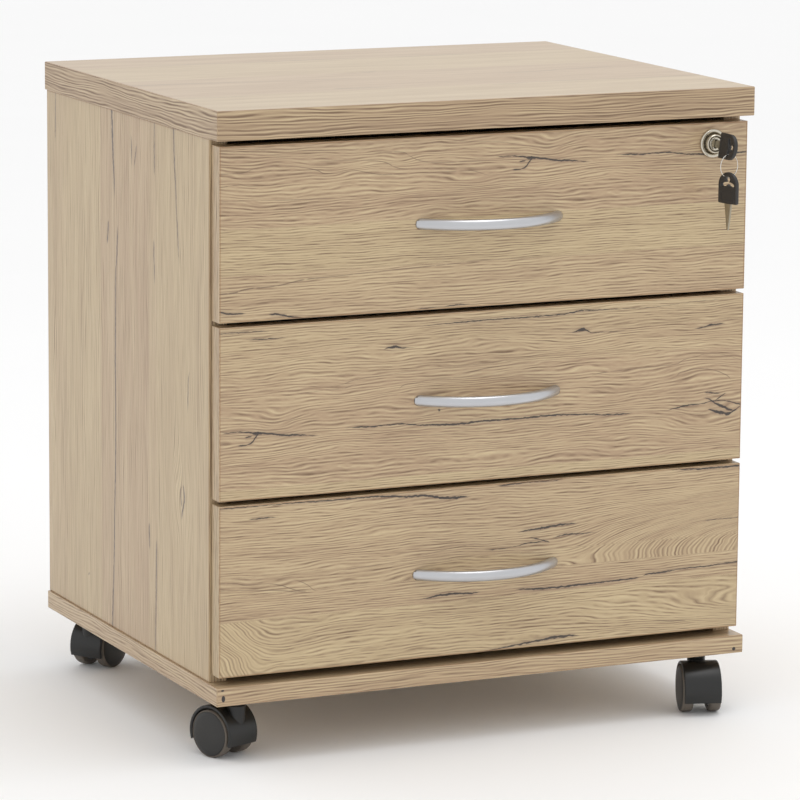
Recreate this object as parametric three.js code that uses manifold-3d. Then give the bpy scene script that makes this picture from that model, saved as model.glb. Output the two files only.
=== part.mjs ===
// Rolling pedestal cabinet: a chipboard carcass on four twin-wheel castors, three drawers with bow
// handles on steel drawer sides, and one lock that holds all three drawers by a lifting bar.
// Millimetres, +Z up, +X to the right of someone facing the drawers, drawers open towards -Y.
// The origin is on the floor, under the middle of the whole object's box, keys included.
import * as THREE from 'three';
import { mergeVertices } from 'three/addons/utils/BufferGeometryUtils.js';
import Module from 'manifold-3d';

const wasm = await Module();
wasm.setup();

// ---- Driving dimensions ----
const WIDTH = 500; // top and bottom panels
const DEPTH = 400;
const HEIGHT = 552; // floor to the top's upper face
const TOP_THICK = 25;
const BOARD = 16; // sides, back, bottom and drawer fronts
const CASTOR_HEIGHT = 53;
const SIDE_INSET = 2; // the sides stand this far inside the top's ends
const KEY_REACH = 37; // the key in the lock stands this far in front of the top's front edge
const CASTOR_REACH = 6; // and a swivelled castor this far behind its back edge
const CLEAR = 0.3; // gap left round pieces that fit into each other

const FACE_SETBACK = 5; // drawer faces behind the top's front edge
const FACE_WIDTH = 492;
const FACE_HEIGHT = 146;
const FACE_GAP = 4;
const FACE_TOP_GAP = 5; // under the top panel
const DRAWER_COUNT = 3;
const DRAWER_LENGTH = 350; // steel sides and runners
const SHEET = 1.5; // thickness of the drawer steel
const DRAWER_BASE = 12; // drawer bottom board
const DRAWER_BACK_HEIGHT = 70;

const HANDLE = { halfSpan: 61.9, rise: 26, height: 9.4, depth: 7.5, overrun: 8 };

const LOCK = { x: 212, belowFaceTop: 17.75, barrel: 9.2, rosette: 12.5, plug: 6, pinOffset: 4, pin: 2 };
const KEY = { thick: 3.6, width: 22, length: 27, shoulder: 15, bladeWidth: 7.8, bladeThick: 2 };
KEY.holeFromEnd = 9;
const BOW_HOLE = { mean: 3.9, lobe: 2.4, across: 1.36, along: 0.85 }; // radius and its stretch
KEY.tilt = THREE.MathUtils.degToRad(7); // the key stands a little off vertical in the lock
const RING = { radius: 9.9, wire: 0.5, turn: THREE.MathUtils.degToRad(14) };
const SPARE = { turn: THREE.MathUtils.degToRad(16), bladeLength: 23.5 };
const BAR = { width: 20, thick: 3.75, travel: 8, lowGap: 11, highGap: 12 };

const CASTOR = {
  inset: 30, wheelRadius: 20.5, wheelInner: 7, wheelOuter: 18, trail: 15,
  hoodRadius: 24.5, hoodWall: 3, hoodHalf: 16.5, webHalf: 4, bossRadius: 7, bossTop: 45.5,
  stemRadius: 4, stemInPanel: 10, axleRadius: 2, axleHalf: 14,
};
CASTOR.lipAngle = THREE.MathUtils.degToRad(20); // the hood ends this far below the axle's level
// Where each castor stands (side, end) and which way it is swivelled at rest, in degrees.
const CASTOR_PLACES = [
  ['front_left', -1, -1, 22],
  ['front_right', 1, -1, 162],
  ['back_left', -1, 1, -55],
  ['back_right', 1, 1, 75],
];

// ---- Planes worked out from them ----
const TOP_FRONT = (KEY_REACH - DEPTH - CASTOR_REACH) / 2;
const BACK = TOP_FRONT + DEPTH;
const FACE = TOP_FRONT + FACE_SETBACK;
const FACE_REAR = FACE + BOARD;
const SIDE_FRONT = FACE_REAR + 1;
const SIDE_OUT = WIDTH / 2 - SIDE_INSET;
const SIDE_IN = SIDE_OUT - BOARD;
const FLOOR_TOP = CASTOR_HEIGHT + BOARD; // upper face of the bottom panel
const TOP_UNDER = HEIGHT - TOP_THICK;
const DRAWER_OUT = SIDE_IN - 13; // outer face of a drawer's steel side
const DRAWER_IN = DRAWER_OUT - SHEET;
const DRAWER_END = FACE_REAR + DRAWER_LENGTH;
const drawerFoot = (n) => TOP_UNDER - FACE_TOP_GAP - n * FACE_HEIGHT - (n - 1) * FACE_GAP;
const LOCK_Z = drawerFoot(1) + FACE_HEIGHT - LOCK.belowFaceTop;

// ---- Materials ----
const finish = (color, roughness, metalness) => new THREE.MeshStandardMaterial({ color, roughness, metalness });
const materials = {
  oak: finish(0xbfa583, 0.55, 0),
  board: finish(0xe4e2dc, 0.6, 0),
  drawerSteel: finish(0xc9cbcc, 0.4, 0.3),
  zinc: finish(0xb4b7ba, 0.35, 0.9),
  satin: finish(0xc4c5c8, 0.35, 0.7),
  nickel: finish(0xd6d0c4, 0.15, 1),
  brass: finish(0xb8a478, 0.35, 0.8),
  castorPlastic: finish(0x232221, 0.45, 0),
  tread: finish(0x3a3631, 0.6, 0),
  keyPlastic: finish(0x302e2c, 0.5, 0),
};

// ---- Solids ----
const group = new THREE.Group();

// One closed mesh from any three.js geometry: shared corners merged, slivers dropped.
function closed(geometry) {
  const bare = geometry.clone();
  bare.deleteAttribute('normal');
  bare.deleteAttribute('uv');
  const merged = mergeVertices(bare, 1e-4);
  const index = merged.index.array;
  const kept = [];
  for (let i = 0; i < index.length; i += 3) {
    const [a, b, c] = [index[i], index[i + 1], index[i + 2]];
    if (a !== b && b !== c && c !== a) kept.push(a, b, c);
  }
  merged.setIndex(kept);
  return merged;
}

function toSolid(geometry) {
  const mesh = closed(geometry);
  return new wasm.Manifold(new wasm.Mesh({
    numProp: 3,
    vertProperties: new Float32Array(mesh.attributes.position.array),
    triVerts: new Uint32Array(mesh.index.array),
  }));
}

function toGeometry(solid) {
  const mesh = solid.getMesh();
  const geometry = new THREE.BufferGeometry();
  geometry.setAttribute('position', new THREE.BufferAttribute(mesh.vertProperties, 3));
  geometry.setIndex(new THREE.BufferAttribute(mesh.triVerts, 1));
  return geometry;
}

const join = (...parts) => toGeometry(parts.map(toSolid).reduce((a, b) => a.add(b)));
const cut = (base, ...tools) => toGeometry(tools.map(toSolid).reduce((a, b) => a.subtract(b), toSolid(base)));

function box(x, y, z) {
  const size = [x, y, z].map(([low, high]) => high - low);
  const middle = [x, y, z].map(([low, high]) => (high + low) / 2);
  return new THREE.BoxGeometry(...size).translate(...middle);
}

const outline = (points) => new THREE.Shape(points.map(([x, y]) => new THREE.Vector2(x, y)));
const extrude = (shape, depth) =>
  new THREE.ExtrudeGeometry(shape, { depth, bevelEnabled: false, curveSegments: 12 });

// A shape drawn as (x, z), run along Y from `front` to `rear`.
function alongY(shape, front, rear) {
  const basis = new THREE.Matrix4().makeBasis(
    new THREE.Vector3(1, 0, 0), new THREE.Vector3(0, 0, 1), new THREE.Vector3(0, -1, 0));
  return extrude(shape, rear - front).applyMatrix4(basis).translate(0, rear, 0);
}

// A shape drawn as (y, z), run along X from -half to +half.
function acrossX(shape, half) {
  const basis = new THREE.Matrix4().makeBasis(
    new THREE.Vector3(0, 1, 0), new THREE.Vector3(0, 0, 1), new THREE.Vector3(1, 0, 0));
  return extrude(shape, 2 * half).applyMatrix4(basis).translate(-half, 0, 0);
}

// A round bar between two heights, standing on Z.
function post(radiusTop, radiusFoot, low, high, sides = 24) {
  return new THREE.CylinderGeometry(radiusTop, radiusFoot, high - low, sides)
    .rotateX(Math.PI / 2).translate(0, 0, (low + high) / 2);
}

// A turned piece on the Y axis; its profile is (radius, distance in front of the drawer face).
function turned(profile, segments = 28) {
  return new THREE.LatheGeometry(profile.map(([r, ahead]) => new THREE.Vector2(r, ahead)), segments)
    .rotateX(Math.PI);
}

function add(name, geometry, material, parent = group) {
  const mesh = new THREE.Mesh(closed(geometry), material);
  mesh.name = name;
  parent.add(mesh);
}

// ---- Carcass ----
function buildCarcass() {
  const panel = [-WIDTH / 2, WIDTH / 2];
  add('top_panel', box(panel, [TOP_FRONT, BACK], [TOP_UNDER, HEIGHT]), materials.oak);

  const stemHoles = CASTOR_PLACES.map(([, side, end]) => {
    const [x, y] = castorPivot(side, end);
    const top = CASTOR_HEIGHT + CASTOR.stemInPanel + 1;
    const radius = CASTOR.stemRadius + CLEAR;
    return post(radius, radius, CASTOR_HEIGHT - 1, top).translate(x, y, 0);
  });
  const bottom = box(panel, [TOP_FRONT, BACK], [CASTOR_HEIGHT, FLOOR_TOP]);
  add('bottom_panel', cut(bottom, ...stemHoles), materials.oak);

  const upright = [FLOOR_TOP, TOP_UNDER];
  add('side_panel_left', box([-SIDE_OUT, -SIDE_IN], [SIDE_FRONT, BACK], upright), materials.oak);
  const right = box([SIDE_IN, SIDE_OUT], [SIDE_FRONT, BACK], upright);
  const front = barFront() - CLEAR;
  const groove = box([SIDE_IN - 1, SIDE_IN + BAR.thick + 0.75],
    [front, front + BAR.width + 2 * CLEAR], [FLOOR_TOP - 1, TOP_UNDER + 1]);
  add('side_panel_right', cut(right, groove), materials.oak);
  add('back_panel', box([-SIDE_IN, SIDE_IN], [BACK - BOARD, BACK], upright), materials.oak);
}

// ---- Drawers ----
// The steel side in section: a foot under the drawer bottom, a rail that runs on the rollers of
// the cabinet's channel, and a hem along the top. `side` is -1 on the left and 1 on the right.
function drawerSideShape(side, foot) {
  const [inner, outer] = [DRAWER_IN, DRAWER_OUT];
  const points = [
    [inner - 15, 12], [outer, 12], [outer, 28], [outer + 9, 28], [outer + 9, 24],
    [outer + 9 + SHEET, 24], [outer + 9 + SHEET, 28 + SHEET], [outer, 28 + SHEET], [outer, 95],
    [outer + SHEET, 95], [outer + SHEET, 98], [inner, 98], [inner, 12 + SHEET], [inner - 15, 12 + SHEET],
  ];
  return outline(points.map(([x, z]) => [side * x, foot + z]));
}

// The channel screwed to the cabinet side, in section.
function channelShape(side, foot) {
  const wall = SIDE_IN;
  const points = [
    [wall - 11, 14], [wall, 14], [wall, 38], [wall - 8, 38], [wall - 8, 38 - SHEET],
    [wall - SHEET, 38 - SHEET], [wall - SHEET, 14 + SHEET], [wall - 11, 14 + SHEET],
  ];
  return outline(points.map(([x, z]) => [side * x, foot + z]));
}

// The bow: an oval bar bent to an arc, its two ends flat against the drawer face.
function handleGeometry() {
  const { halfSpan, rise, height, depth, overrun } = HANDLE;
  const radius = (halfSpan ** 2 + rise ** 2) / (2 * rise);
  const centre = radius - rise;
  const half = Math.asin(halfSpan / radius) + overrun / radius;
  class Bow extends THREE.Curve {
    getPoint(t, target = new THREE.Vector3()) {
      const angle = (2 * t - 1) * half;
      return target.set(radius * Math.sin(angle), centre - radius * Math.cos(angle), 0);
    }
  }
  const section = new THREE.Shape();
  section.absellipse(0, 0, height / 2, depth / 2, 0, 2 * Math.PI);
  const bow = new THREE.ExtrudeGeometry(section, { steps: 18, curveSegments: 6, extrudePath: new Bow() });
  return cut(bow, box([-100, 100], [-CLEAR, 50], [-20, 20]));
}

function buildDrawer(n) {
  const foot = drawerFoot(n);
  const name = `drawer_${n}`;
  const face = box([-FACE_WIDTH / 2, FACE_WIDTH / 2], [FACE, FACE_REAR], [foot, foot + FACE_HEIGHT]);
  if (n === 1) {
    const radius = LOCK.barrel + CLEAR;
    const bore = new THREE.CylinderGeometry(radius, radius, 3 * BOARD, 40).translate(LOCK.x, FACE, LOCK_Z);
    add(`${name}_front`, cut(face, bore), materials.oak);
  } else {
    add(`${name}_front`, face, materials.oak);
  }

  add(`${name}_side_left`, alongY(drawerSideShape(-1, foot), FACE_REAR, DRAWER_END), materials.drawerSteel);
  // The catch that the lock bar's peg stands in front of when it is up.
  const catchFront = barFront() + 9;
  const catchTab = box([DRAWER_IN + 0.5, DRAWER_OUT + 7], [catchFront, catchFront + SHEET], [foot + 57, foot + 66]);
  const right = alongY(drawerSideShape(1, foot), FACE_REAR, DRAWER_END);
  add(`${name}_side_right`, join(right, catchTab), materials.drawerSteel);

  const inside = [-DRAWER_IN + 0.25, DRAWER_IN - 0.25];
  const base = foot + 12 + SHEET;
  add(`${name}_bottom`, box(inside, [FACE_REAR, DRAWER_END], [base, base + DRAWER_BASE]), materials.board);
  const back = [base + DRAWER_BASE, base + DRAWER_BASE + DRAWER_BACK_HEIGHT];
  add(`${name}_back`, box(inside, [DRAWER_END - BOARD, DRAWER_END], back), materials.board);

  const bow = handleGeometry().translate(0, FACE, foot + FACE_HEIGHT / 2);
  add(`handle_${n}`, bow, materials.satin);

  for (const [word, side] of [['left', -1], ['right', 1]]) {
    const channel = alongY(channelShape(side, foot), FACE_REAR + 2, DRAWER_END - 1);
    add(`runner_${n}_${word}`, channel, materials.zinc);
  }
}

// ---- Lock, lock bar and keys ----
function barFront() {
  return FACE_REAR + 8.5;
}

function buildLock() {
  const lock = new THREE.Group();
  lock.position.set(LOCK.x, FACE, LOCK_Z);
  group.add(lock);

  const bore = LOCK.plug + CLEAR;
  const { barrel, rosette } = LOCK;
  const housing = turned([
    [bore, -22], [barrel, -22], [barrel, CLEAR], [rosette, CLEAR], [rosette, 1.6], [rosette - 0.9, 2.6],
    [rosette - 2.9, 2.6], [rosette - 3.7, 1.6], [8, 1.6], [8, 6], [7.4, 6.6], [bore, 6.6], [bore, -22],
  ]);
  add('lock_housing', housing, materials.nickel, lock);

  const plug = turned([[0, -23], [LOCK.plug, -23], [LOCK.plug, 5.6], [LOCK.plug - 0.5, 6.1], [0, 6.1]]);
  const slot = box([-1.3, 1.3], [-10, 16], [-KEY.bladeWidth / 2 - CLEAR, KEY.bladeWidth / 2 + CLEAR]);
  const crank = new THREE.CylinderGeometry(LOCK.pin, LOCK.pin, 9.5, 20).translate(0, 27.25, -LOCK.pinOffset);
  add('lock_plug', cut(join(plug, crank), slot.rotateY(KEY.tilt)), materials.nickel, lock);
}

// The lifting bar: a flat in the side panel's groove, a peg under each drawer's catch, and a foot
// whose slot takes the crank pin behind the lock.
function buildLockBar() {
  const front = barFront();
  const behind = [front, front + 2];
  const flat = box([SIDE_IN + 0.25, SIDE_IN + 0.25 + BAR.thick], [front, front + BAR.width],
    [FLOOR_TOP + BAR.lowGap, TOP_UNDER - BAR.highGap]);
  const slotZ = LOCK_Z - LOCK.pinOffset;
  const foot = box([LOCK.x - 9, SIDE_IN + 1], behind, [slotZ - 8, slotZ + 8]);
  const slot = box([LOCK.x - 6.5, LOCK.x + 6.5], [front - 1, front + 3], [slotZ - 3.5, slotZ + 3.5]);
  const pegs = [1, 2, 3].map((n) => {
    const height = drawerFoot(n) + 50;
    return box([DRAWER_OUT + 3, SIDE_IN + 1], [front, front + 6], [height, height + 6]);
  });
  add('lock_bar', cut(join(flat, foot, ...pegs), slot), materials.zinc);
}

// The three-lobed hole in a key's bow, one lobe towards the rounded end.
function bowHole(centre) {
  const { mean, lobe, across, along } = BOW_HOLE;
  const points = [];
  const steps = 24;
  for (let i = 0; i < steps; i++) {
    const angle = (i / steps) * 2 * Math.PI;
    const radius = mean + lobe * Math.cos(3 * (angle - Math.PI / 2));
    points.push(new THREE.Vector2(across * radius * Math.cos(angle), centre + along * radius * Math.sin(angle)));
  }
  return new THREE.Path(points);
}

// A key's plastic bow lies in the XY plane, shoulder on y = 0 and rounded end at y = length.
function keyBow() {
  const half = KEY.width / 2;
  const shape = new THREE.Shape();
  shape.moveTo(-half, 0);
  shape.lineTo(half, 0);
  shape.lineTo(half, KEY.length - half);
  shape.absarc(0, KEY.length - half, half, 0, Math.PI);
  shape.holes.push(bowHole(KEY.length - KEY.holeFromEnd));
  return extrude(shape, KEY.thick).translate(0, 0, -KEY.thick / 2);
}

// The blade runs down from just under the shoulder, with its cuts along one edge.
function keyBlade(length) {
  const half = KEY.bladeWidth / 2;
  const shape = new THREE.Shape();
  shape.moveTo(-half, -CLEAR);
  shape.lineTo(-half, -length + 3);
  shape.lineTo(-half + 2.6, -length);
  shape.lineTo(-half + 4.4, -length + 1);
  const cuts = [1.6, 2.6, 1.9, 2.4];
  cuts.forEach((deep, i) => {
    const along = -length + 3.2 + i * 3.6;
    shape.lineTo(half - deep, along);
    shape.lineTo(half - deep, along + 1.4);
    shape.lineTo(half - 0.9, along + 2.6);
  });
  shape.lineTo(half, -length + 19);
  shape.lineTo(half, -CLEAR);
  return extrude(shape, KEY.bladeThick).translate(0, 0, -KEY.bladeThick / 2);
}

function buildKeys() {
  const lockPlace = new THREE.Vector3(LOCK.x, FACE, LOCK_Z);

  // The key in the lock: its width stands up, its bow points forwards.
  const inLock = new THREE.Group();
  inLock.position.copy(lockPlace);
  inLock.rotation.y = KEY.tilt;
  group.add(inLock);
  const forwards = new THREE.Matrix4().makeBasis(
    new THREE.Vector3(0, 0, 1), new THREE.Vector3(0, -1, 0), new THREE.Vector3(1, 0, 0));
  const stand = (geometry) => geometry.applyMatrix4(forwards).translate(0, -KEY.shoulder, 0);
  add('key_bow', stand(keyBow()), materials.keyPlastic, inLock);
  add('key_blade', stand(keyBlade(29)), materials.nickel, inLock);

  // The ring hangs in the lower lobe of that key's hole, and the spare key hangs on the ring.
  const hang = 6; // from the lock's axis down to the ring's wire
  const ahead = KEY.shoulder + KEY.length - KEY.holeFromEnd - 1.7; // in that lobe, short of the centre
  const ring = new THREE.Group();
  ring.position.copy(lockPlace).add(new THREE.Vector3(
    -hang * Math.sin(KEY.tilt), -ahead, -hang * Math.cos(KEY.tilt) - RING.radius));
  group.add(ring);
  const wire = new THREE.TorusGeometry(RING.radius, RING.wire, 6, 36).rotateX(Math.PI / 2).rotateZ(RING.turn);
  add('key_ring', wire, materials.nickel, ring);

  const hanging = new THREE.Group();
  const holeTop = BOW_HOLE.along * (BOW_HOLE.mean + BOW_HOLE.lobe); // reach of the hole's end lobe
  const end = -RING.radius + RING.wire + CLEAR + KEY.holeFromEnd - holeTop;
  hanging.position.set(0, 0, end - KEY.length);
  ring.add(hanging);
  const across = new THREE.Vector3(Math.sin(SPARE.turn), -Math.cos(SPARE.turn), 0);
  const up = new THREE.Vector3(0, 0, 1);
  const upright = new THREE.Matrix4().makeBasis(across, up, new THREE.Vector3().crossVectors(across, up));
  add('spare_key_bow', keyBow().applyMatrix4(upright), materials.keyPlastic, hanging);
  add('spare_key_blade', keyBlade(SPARE.bladeLength).applyMatrix4(upright), materials.nickel, hanging);
}

// ---- Castors ----
function castorPivot(side, end) {
  const y = end < 0 ? TOP_FRONT + CASTOR.inset : BACK - CASTOR.inset;
  return [side * (WIDTH / 2 - CASTOR.inset), y];
}

// The hood: a curved cover over both wheels, a web between them and a boss for the stem.
function castorHousing() {
  const { hoodRadius, hoodWall, hoodHalf, webHalf, wheelRadius, lipAngle, trail } = CASTOR;
  const [from, to] = [-lipAngle, Math.PI + lipAngle];
  const cover = new THREE.Shape();
  cover.absarc(trail, wheelRadius, hoodRadius, from, to, false);
  cover.absarc(trail, wheelRadius, hoodRadius - hoodWall, to, from, true);
  const web = new THREE.Shape();
  web.absarc(trail, wheelRadius, hoodRadius - 1, from, to, false);
  const boss = post(CASTOR.bossRadius, CASTOR.bossRadius - 1, 26, CASTOR.bossTop);
  const stemBore = post(CASTOR.stemRadius + CLEAR, CASTOR.stemRadius + CLEAR, 30, CASTOR.bossTop + 1);
  const axleBore = new THREE.CylinderGeometry(CASTOR.axleRadius + CLEAR, CASTOR.axleRadius + CLEAR, 20, 24)
    .rotateZ(Math.PI / 2).translate(0, trail, wheelRadius);
  return cut(join(acrossX(cover, hoodHalf), acrossX(web, webHalf), boss), stemBore, axleBore);
}

// One wheel, its inner face towards the web: a tread with round shoulders and a domed disc.
function castorWheel(side) {
  const { wheelInner, wheelOuter, wheelRadius, webHalf, axleRadius, axleHalf } = CASTOR;
  const bore = axleRadius + CLEAR;
  const profile = [
    [0, axleHalf + 0.5], [bore, axleHalf + 0.5], [bore, webHalf + 0.5], [6, webHalf + 0.5], [6, wheelInner],
    [wheelRadius - 1, wheelInner], [wheelRadius, wheelInner + 1.5], [wheelRadius, wheelOuter - 2.5],
    [wheelRadius - 2, wheelOuter - 0.7], [0, wheelOuter],
  ];
  return new THREE.LatheGeometry(profile.map(([r, x]) => new THREE.Vector2(r, x)), 32)
    .rotateZ(-side * Math.PI / 2);
}

function buildCastor([place, side, end, degrees]) {
  const [x, y] = castorPivot(side, end);
  const name = `castor_${place}`;
  const castor = new THREE.Group();
  castor.position.set(x, y, 0);
  castor.rotation.z = THREE.MathUtils.degToRad(degrees);
  group.add(castor);

  const stem = post(CASTOR.stemRadius, CASTOR.stemRadius, 31, CASTOR_HEIGHT + CASTOR.stemInPanel);
  add(`${name}_stem`, stem, materials.zinc, castor);
  add(`${name}_housing`, castorHousing(), materials.castorPlastic, castor);

  const axle = new THREE.Group();
  axle.position.set(0, CASTOR.trail, CASTOR.wheelRadius);
  castor.add(axle);
  const pin = new THREE.CylinderGeometry(CASTOR.axleRadius, CASTOR.axleRadius, 2 * CASTOR.axleHalf, 24);
  add(`${name}_axle`, pin.rotateZ(Math.PI / 2), materials.zinc, axle);
  add(`${name}_wheel_left`, castorWheel(-1), materials.tread, axle);
  add(`${name}_wheel_right`, castorWheel(1), materials.tread, axle);
}

buildCarcass();
for (let n = 1; n <= DRAWER_COUNT; n++) buildDrawer(n);
buildLock();
buildLockBar();
buildKeys();
CASTOR_PLACES.forEach(buildCastor);

export default group;
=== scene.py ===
"""Looks of a rolling pedestal cabinet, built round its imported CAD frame.

Oak decor boards with edge bands, satin bow handles, a nickel lock with two keys on a split ring,
steel drawer sides on roller runners, and twin-wheel castors in black plastic.
Everything is in metres in the frame's own axes; lengths named in millimetres are multiplied by MM.
"""
import math

import bmesh
import bpy
from mathutils import Matrix, Vector


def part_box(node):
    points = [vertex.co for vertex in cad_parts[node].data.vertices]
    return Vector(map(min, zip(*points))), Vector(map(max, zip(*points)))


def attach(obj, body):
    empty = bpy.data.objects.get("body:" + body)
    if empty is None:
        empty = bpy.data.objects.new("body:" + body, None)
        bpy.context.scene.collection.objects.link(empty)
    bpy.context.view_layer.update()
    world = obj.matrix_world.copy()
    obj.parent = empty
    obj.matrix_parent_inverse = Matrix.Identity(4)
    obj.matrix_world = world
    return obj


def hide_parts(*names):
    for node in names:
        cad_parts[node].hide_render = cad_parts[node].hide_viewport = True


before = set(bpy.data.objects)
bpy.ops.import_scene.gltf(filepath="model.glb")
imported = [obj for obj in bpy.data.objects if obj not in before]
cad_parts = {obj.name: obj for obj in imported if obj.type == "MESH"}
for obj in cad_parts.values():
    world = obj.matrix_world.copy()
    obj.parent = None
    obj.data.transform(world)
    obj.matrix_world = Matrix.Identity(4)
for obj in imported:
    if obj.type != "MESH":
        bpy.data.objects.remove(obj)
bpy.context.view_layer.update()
MM = 0.001


# ---------------------------------------------------------------- shader arithmetic
class Value:
    """A number that a shader works out at each point, written with ordinary arithmetic."""

    def __init__(self, graph, socket):
        self.graph = graph
        self.socket = socket

    def __add__(self, other):
        return self.graph.math("ADD", self, other)

    __radd__ = __add__

    def __sub__(self, other):
        return self.graph.math("SUBTRACT", self, other)

    def __rsub__(self, other):
        return self.graph.math("SUBTRACT", other, self)

    def __mul__(self, other):
        return self.graph.math("MULTIPLY", self, other)

    __rmul__ = __mul__

    def __truediv__(self, other):
        return self.graph.math("DIVIDE", self, other)

    def __neg__(self):
        return self.graph.math("MULTIPLY", self, -1.0)

    def __abs__(self):
        return self.graph.math("ABSOLUTE", self)


class Graph:
    """Makes the nodes of one material."""

    def __init__(self, name):
        self.material = bpy.data.materials.new(name)
        self.material.use_nodes = True
        self.tree = self.material.node_tree
        self.tree.nodes.clear()
        self.shader = self.node("BsdfPrincipled")
        output = self.node("OutputMaterial")
        self.tree.links.new(self.shader.outputs[0], output.inputs["Surface"])

    def feed(self, socket, value):
        if isinstance(value, Value):
            value = value.socket
        if isinstance(value, bpy.types.NodeSocket):
            self.tree.links.new(value, socket)
        else:
            socket.default_value = value

    def node(self, kind, inputs=None, **settings):
        node = self.tree.nodes.new("ShaderNode" + kind)
        for name, value in settings.items():
            setattr(node, name, value)
        for key, value in (inputs or {}).items():
            self.feed(node.inputs[key], value)
        return node

    def math(self, operation, *values):
        node = self.node("Math", operation=operation)
        for socket, value in zip(node.inputs, values):
            self.feed(socket, value)
        return Value(self, node.outputs[0])

    def low(self, a, b):
        return self.math("MINIMUM", a, b)

    def high(self, a, b):
        return self.math("MAXIMUM", a, b)

    def limit(self, value):
        node = self.node("Clamp", {"Value": value})
        return Value(self, node.outputs[0])

    def rise(self, value, start, end):
        """0 before start, 1 after end, smooth between; start may be above end."""
        inputs = {"Value": value, "From Min": start, "From Max": end}
        node = self.node("MapRange", inputs, interpolation_type="SMOOTHSTEP")
        return Value(self, node.outputs[0])

    def blend(self, factor, a, b):
        """A number that goes from a to b as the factor goes from 0 to 1."""
        return a + (b - a) * factor

    def hill(self, u, v, place):
        """A round bump of height 1 at place = (u, v, half length, half width)."""
        du = (u - place[0]) / place[2]
        dv = (v - place[1]) / place[3]
        return self.math("EXPONENT", -(du * du + dv * dv))

    def noise(self, x, y, detail=2.0):
        place = self.node("CombineXYZ", {"X": x, "Y": y})
        inputs = {"Vector": place.outputs[0], "Scale": 1.0, "Detail": detail}
        node = self.node("TexNoise", inputs, noise_dimensions="2D")
        return Value(self, node.outputs[0])

    def speckle(self, scale, detail=2.0):
        """Noise in all three directions, the same on every face; scale is in bumps per metre."""
        place = self.node("TexCoord").outputs["Object"]
        node = self.node("TexNoise", {"Vector": place, "Scale": scale, "Detail": detail})
        return Value(self, node.outputs[0])

    def curve(self, x, points):
        """A line through the given (x, y) points, flat before the first and after the last."""
        start, length = points[0][0], points[-1][0] - points[0][0]
        node = self.node("FloatCurve", {"Value": (x - start) / length})
        node.mapping.use_clip = False
        node.mapping.extend = "HORIZONTAL"
        line = node.mapping.curves[0]
        for index, (px, py) in enumerate(points):
            place = ((px - start) / length, py / 100)
            if index < 2:
                line.points[index].location = place
            else:
                line.points.new(*place)
        for point in line.points:
            point.handle_type = "AUTO_CLAMPED"
        node.mapping.update()
        return Value(self, node.outputs[0]) * 100

    def colour(self, factor, a, b):
        """A colour that goes from a to b as the factor goes from 0 to 1."""
        node = self.node("Mix", data_type="RGBA")
        for socket, value in zip((node.inputs[0], node.inputs[6], node.inputs[7]), (factor, a, b)):
            self.feed(socket, value)
        return node.outputs[2]

    def shine(self, **values):
        for name, value in values.items():
            self.feed(self.shader.inputs[name.replace("_", " ")], value)

    def relief(self, height, distance, strength=1.0):
        """Bump whose height of 1 stands that many metres proud."""
        node = self.node("Bump", {"Height": height, "Distance": distance, "Strength": strength})
        self.feed(self.shader.inputs["Normal"], node.outputs[0])


def tone(red, green, blue):
    """A colour as screens name it, 0 to 255, as the linear one that shaders take."""
    def linear(level):
        share = level / 255
        return share / 12.92 if share <= 0.04045 else ((share + 0.055) / 1.055) ** 2.4

    return (linear(red), linear(green), linear(blue), 1.0)


# ---------------------------------------------------------------- oak decor
# The printed decor is one sheet, in millimetres: u runs along the grain and v across it, down the
# drawer fronts. Each board is a window on it. Cracks are (u, v, half width) points.
YELLOW_OAK = tone(184, 162, 126)
PINK_OAK = tone(176, 149, 119)
DARK_GRAIN = tone(123, 99, 75)
LIGHT_GRAIN = tone(212, 192, 153)
BROWN_LINE = tone(98, 78, 62)
STAIN = tone(136, 112, 92)
# Brown of the edge band's glue joint, and partly painted shade along each face's rim.
CRACK = tone(44, 38, 38)
GLUE_LINE_AND_SHADE = tone(140, 98, 58)

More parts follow.
